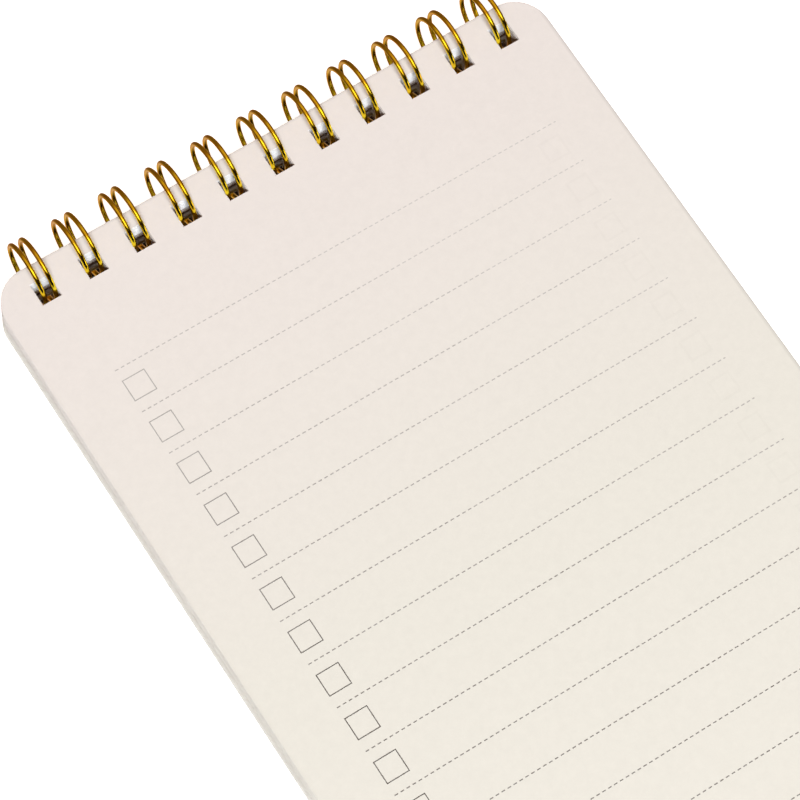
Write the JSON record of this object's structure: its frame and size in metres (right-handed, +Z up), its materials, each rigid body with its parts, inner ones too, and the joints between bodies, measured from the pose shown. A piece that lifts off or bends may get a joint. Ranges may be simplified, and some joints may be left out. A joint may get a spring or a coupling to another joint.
{
  "type": "to-do list notebook",
  "caption": "Top-bound list pad with rounded corners: ruled tick-box sheets and card covers on a twin-loop wire, the front cover turned round behind the sheets.",
  "frame": {"origin": "on the table, below the middle of the pad's bounding box", "axes": "+Y along the pad towards its wire-bound top edge, +X to the reader's right, +Z up out of the top sheet"},
  "size_m": [0.1006, 0.216, 0.0118],
  "materials": {
    "sheets": "uncoated",
    "cover_card": "uncoated",
    "gold_wire": "bright gold plating"
  },
  "bodies": {
    "binding": {"wire_binding": "gold_wire", "back_cover": "cover_card"},
    "sheets": {"page_block": "sheets"},
    "front": {"front_cover": "cover_card"}
  },
  "joints": [
    {"name": "sheets_turn", "type": "hinge", "parent": "binding", "child": "sheets", "pos_m": [0, 0.10214, 0.00589], "axis": [-1, 0, 0], "range_deg": [0, 120]},
    {"name": "front_cover_turn", "type": "hinge", "parent": "binding", "child": "front", "pos_m": [0, 0.10214, 0.00589], "axis": [1, 0, 0], "range_deg": [0, 80]}
  ]
}
